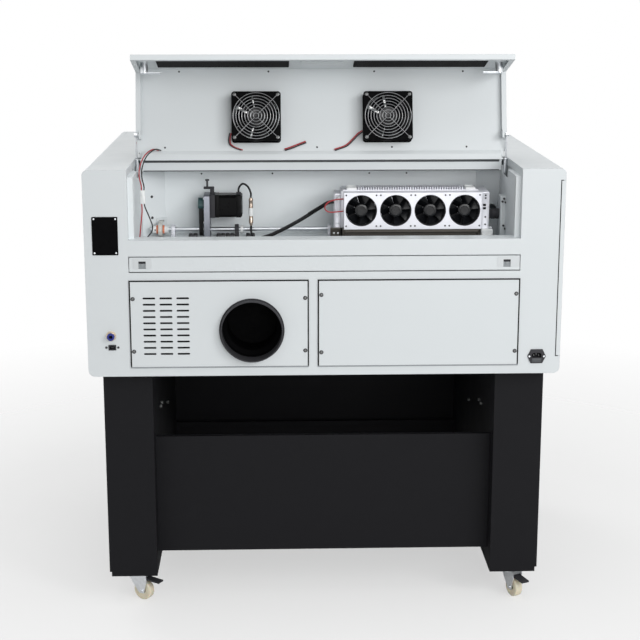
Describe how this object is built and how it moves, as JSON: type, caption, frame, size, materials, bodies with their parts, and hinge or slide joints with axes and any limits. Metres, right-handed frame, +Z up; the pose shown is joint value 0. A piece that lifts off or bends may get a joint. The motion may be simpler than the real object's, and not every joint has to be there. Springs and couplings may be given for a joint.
{
  "type": "laser engraver",
  "caption": "Floor-standing laser engraver on a castor stand with an opening rear lid over its laser and drive, moving gantry, laser head, lift table, doors, fans and latches.",
  "frame": {"origin": "centre of the footprint on the floor", "axes": "+Z up, -Y out of the rear face with the exhaust spigot, +X to the right as seen from the rear"},
  "size_m": [1.12, 0.96, 1.3552],
  "materials": {
    "powder_coat": "satin powder coat",
    "stand_coat": "black powder coat",
    "steel": "brushed",
    "zinc": "zinc plated",
    "alloy": "anodised",
    "black_plastic": "matte",
    "cream_plastic": "matte",
    "rubber": "matte",
    "red_plastic": "gloss",
    "window": "tinted",
    "wire": "satin"
  },
  "bodies": {
    "frame": {"stand_legs": "stand_coat", "stand_panels": "stand_coat", "caster_plates": "zinc", "fasteners": "steel", "cabinet_tub": "powder_coat", "right_side_panel": "powder_coat", "rear_wall": "powder_coat", "hinge_beam": "powder_coat", "compartment_tray": "powder_coat", "vent_panel": "powder_coat", "service_panel": "powder_coat", "exhaust_spigot": "black_plastic", "rear_ports": "black_plastic", "rating_plate": "black_plastic", "laser_tube": "alloy", "laser_fan_shroud": "alloy", "beam_mount": "alloy", "y_motor": "alloy", "drive_brackets": "steel", "drive_belts": "rubber", "guide_rails": "steel", "electronics": "alloy", "control_panel": "powder_coat", "compartment_wires": "wire"},
    "rear_lid": {"rear_lid": "powder_coat", "lid_fan_frames": "black_plastic", "lid_wires": "wire"},
    "main_lid": {"main_lid": "powder_coat", "main_lid_window": "window"},
    "strut_cylinder_left": {"strut_cylinder_left": "black_plastic"},
    "strut_rod_left": {"strut_rod_left": "steel"},
    "lid_fan_rotor_left": {"lid_fan_rotor_left": "black_plastic"},
    "lid_lock_left": {"lid_lock_left": "steel"},
    "strut_cylinder_right": {"strut_cylinder_right": "black_plastic"},
    "strut_rod_right": {"strut_rod_right": "steel"},
    "lid_fan_rotor_right": {"lid_fan_rotor_right": "black_plastic"},
    "lid_lock_right": {"lid_lock_right": "steel"},
    "pass_door": {"pass_door": "powder_coat"},
    "door_latch_left": {"door_latch_left": "black_plastic"},
    "door_latch_right": {"door_latch_right": "black_plastic"},
    "caster_fork_rear_left": {"caster_fork_rear_left": "zinc"},
    "caster_wheel_rear_left": {"caster_wheel_rear_left": "cream_plastic"},
    "brake_pedal_left": {"brake_pedal_left": "black_plastic"},
    "caster_fork_rear_right": {"caster_fork_rear_right": "zinc"},
    "caster_wheel_rear_right": {"caster_wheel_rear_right": "cream_plastic"},
    "brake_pedal_right": {"brake_pedal_right": "black_plastic"},
    "caster_fork_front_left": {"caster_fork_front_left": "zinc"},
    "caster_wheel_front_left": {"caster_wheel_front_left": "cream_plastic"},
    "caster_fork_front_right": {"caster_fork_front_right": "zinc"},
    "caster_wheel_front_right": {"caster_wheel_front_right": "cream_plastic"},
    "laser_fan_rotor_1": {"laser_fan_rotor_1": "black_plastic"},
    "laser_fan_rotor_2": {"laser_fan_rotor_2": "black_plastic"},
    "laser_fan_rotor_3": {"laser_fan_rotor_3": "black_plastic"},
    "laser_fan_rotor_4": {"laser_fan_rotor_4": "black_plastic"},
    "motor_pulley": {"motor_pulley": "steel"},
    "y_drive_shaft": {"y_drive_shaft": "steel"},
    "gantry": {"gantry": "alloy"},
    "laser_head": {"laser_head": "alloy"},
    "lift_table": {"lift_table": "alloy"},
    "estop_button": {"estop_button": "red_plastic"}
  },
  "joints": [
    {"name": "rear_lid_hinge", "type": "hinge", "parent": "frame", "child": "rear_lid", "pos_m": [0, -0.236, 1.099], "axis": [1, 0, 0], "range_deg": [0, 105], "deforming": ["lid_wires"]},
    {"name": "strut_foot_left", "type": "hinge", "parent": "frame", "child": "strut_cylinder_left", "pos_m": [-0.453, -0.2225, 1.04053], "axis": [1, 0, 0], "range_deg": [0, 53]},
    {"name": "strut_stroke_left", "type": "slide", "parent": "strut_cylinder_left", "child": "strut_rod_left", "axis": [0, -0.1872, 0.9823], "range_m": [-0.04374, 0.0005]},
    {"name": "lid_fan_spin_left", "type": "hinge", "parent": "rear_lid", "child": "lid_fan_rotor_left", "pos_m": [-0.1605, -0.22873, 1.19954], "axis": [0, 0.9659, -0.2588], "continuous": true},
    {"name": "lid_lock_turn_left", "type": "hinge", "parent": "rear_lid", "child": "lid_lock_left", "pos_m": [-0.428, -0.24467, 1.33323], "axis": [0, -0.2588, -0.9659], "range_deg": [0, 180]},
    {"name": "strut_foot_right", "type": "hinge", "parent": "frame", "child": "strut_cylinder_right", "pos_m": [0.453, -0.2225, 1.04053], "axis": [1, 0, 0], "range_deg": [0, 53]},
    {"name": "strut_stroke_right", "type": "slide", "parent": "strut_cylinder_right", "child": "strut_rod_right", "axis": [0, -0.1872, 0.9823], "range_m": [-0.04374, 0.0005]},
    {"name": "lid_fan_spin_right", "type": "hinge", "parent": "rear_lid", "child": "lid_fan_rotor_right", "pos_m": [0.1605, -0.22873, 1.19954], "axis": [0, 0.9659, -0.2588], "continuous": true},
    {"name": "lid_lock_turn_right", "type": "hinge", "parent": "rear_lid", "child": "lid_lock_right", "pos_m": [0.428, -0.24467, 1.33323], "axis": [0, -0.2588, -0.9659], "range_deg": [0, 180]},
    {"name": "main_lid_hinge", "type": "hinge", "parent": "frame", "child": "main_lid", "pos_m": [0, -0.132, 1.099], "axis": [1, 0, 0], "range_deg": [0, 75]},
    {"name": "pass_door_hinge", "type": "hinge", "parent": "frame", "child": "pass_door", "pos_m": [0, -0.456, 0.8645], "axis": [1, 0, 0], "range_deg": [0, 95]},
    {"name": "door_latch_slide_left", "type": "slide", "parent": "pass_door", "child": "door_latch_left", "axis": [-1, 0, 0], "range_m": [0, 0.005]},
    {"name": "door_latch_slide_right", "type": "slide", "parent": "pass_door", "child": "door_latch_right", "axis": [1, 0, 0], "range_m": [0, 0.005]},
    {"name": "caster_swivel_rear_left", "type": "hinge", "parent": "frame", "child": "caster_fork_rear_left", "pos_m": [-0.474, -0.342, 0.065], "axis": [0, 0, 1], "continuous": true},
    {"name": "caster_roll_rear_left", "type": "hinge", "parent": "caster_fork_rear_left", "child": "caster_wheel_rear_left", "pos_m": [-0.45301, -0.35363, 0.025], "axis": [0.4848, 0.8746, 0], "continuous": true},
    {"name": "brake_press_left", "type": "hinge", "parent": "caster_fork_rear_left", "child": "brake_pedal_left", "pos_m": [-0.44426, -0.35848, 0.055], "axis": [0.4848, 0.8746, 0], "range_deg": [0, 10]},
    {"name": "caster_swivel_rear_right", "type": "hinge", "parent": "frame", "child": "caster_fork_rear_right", "pos_m": [0.474, -0.342, 0.065], "axis": [0, 0, 1], "continuous": true},
    {"name": "caster_roll_rear_right", "type": "hinge", "parent": "caster_fork_rear_right", "child": "caster_wheel_rear_right", "pos_m": [0.48414, -0.36375, 0.025], "axis": [0.9063, 0.4226, 0], "continuous": true},
    {"name": "brake_press_right", "type": "hinge", "parent": "caster_fork_rear_right", "child": "brake_pedal_right", "pos_m": [0.48837, -0.37281, 0.055], "axis": [0.9063, 0.4226, 0], "range_deg": [0, 10]},
    {"name": "caster_swivel_front_left", "type": "hinge", "parent": "frame", "child": "caster_fork_front_left", "pos_m": [-0.474, 0.338, 0.065], "axis": [0, 0, 1], "continuous": true},
    {"name": "caster_roll_front_left", "type": "hinge", "parent": "caster_fork_front_left", "child": "caster_wheel_front_left", "pos_m": [-0.49478, 0.35, 0.025], "axis": [-0.5, -0.866, 0], "continuous": true},
    {"name": "caster_swivel_front_right", "type": "hinge", "parent": "frame", "child": "caster_fork_front_right", "pos_m": [0.474, 0.338, 0.065], "axis": [0, 0, 1], "continuous": true},
    {"name": "caster_roll_front_right", "type": "hinge", "parent": "caster_fork_front_right", "child": "caster_wheel_front_right", "pos_m": [0.49239, 0.35343, 0.025], "axis": [-0.6428, 0.766, 0], "continuous": true},
    {"name": "laser_fan_spin_1", "type": "hinge", "parent": "frame", "child": "laser_fan_rotor_1", "pos_m": [0.09165, -0.317, 0.9835], "axis": [0, 1, 0], "continuous": true},
    {"name": "laser_fan_spin_2", "type": "hinge", "parent": "frame", "child": "laser_fan_rotor_2", "pos_m": [0.17495, -0.317, 0.9835], "axis": [0, 1, 0], "continuous": true},
    {"name": "laser_fan_spin_3", "type": "hinge", "parent": "frame", "child": "laser_fan_rotor_3", "pos_m": [0.25825, -0.317, 0.9835], "axis": [0, 1, 0], "continuous": true},
    {"name": "laser_fan_spin_4", "type": "hinge", "parent": "frame", "child": "laser_fan_rotor_4", "pos_m": [0.34155, -0.317, 0.9835], "axis": [0, 1, 0], "continuous": true},
    {"name": "gantry_slide", "type": "slide", "parent": "frame", "child": "gantry", "axis": [0, 1, 0], "range_m": [-0.14, 0.22]},
    {"name": "drive_shaft_spin", "type": "hinge", "parent": "frame", "child": "y_drive_shaft", "pos_m": [0, -0.198, 0.919], "axis": [1, 0, 0], "range_deg": [-840, 540]},
    {"name": "motor_pulley_spin", "type": "hinge", "parent": "frame", "child": "motor_pulley", "pos_m": [-0.3, -0.198, 0.98], "axis": [1, 0, 0], "range_deg": [-840, 540]},
    {"name": "laser_head_slide", "type": "slide", "parent": "gantry", "child": "laser_head", "axis": [1, 0, 0], "range_m": [-0.28, 0.28]},
    {"name": "lift_table_slide", "type": "slide", "parent": "frame", "child": "lift_table", "axis": [0, 0, 1], "range_m": [-0.08, 0.06]},
    {"name": "estop_press", "type": "slide", "parent": "frame", "child": "estop_button", "axis": [0, 0, 1], "range_m": [-0.006, 0], "stiffness_N_per_m": 900, "springref_m": 0.003}
  ],
  "couplings": [
    {"joint": "strut_foot_left", "follows": "rear_lid_hinge", "ratio": 0.5},
    {"joint": "strut_stroke_left", "follows": "rear_lid_hinge", "m_per_rad": -0.023597},
    {"joint": "strut_foot_right", "follows": "rear_lid_hinge", "ratio": 0.5},
    {"joint": "strut_stroke_right", "follows": "rear_lid_hinge", "m_per_rad": -0.023597},
    {"joint": "drive_shaft_spin", "follows": "gantry_slide", "rad_per_m": -66.225},
    {"joint": "motor_pulley_spin", "follows": "gantry_slide", "rad_per_m": -66.225}
  ]
}
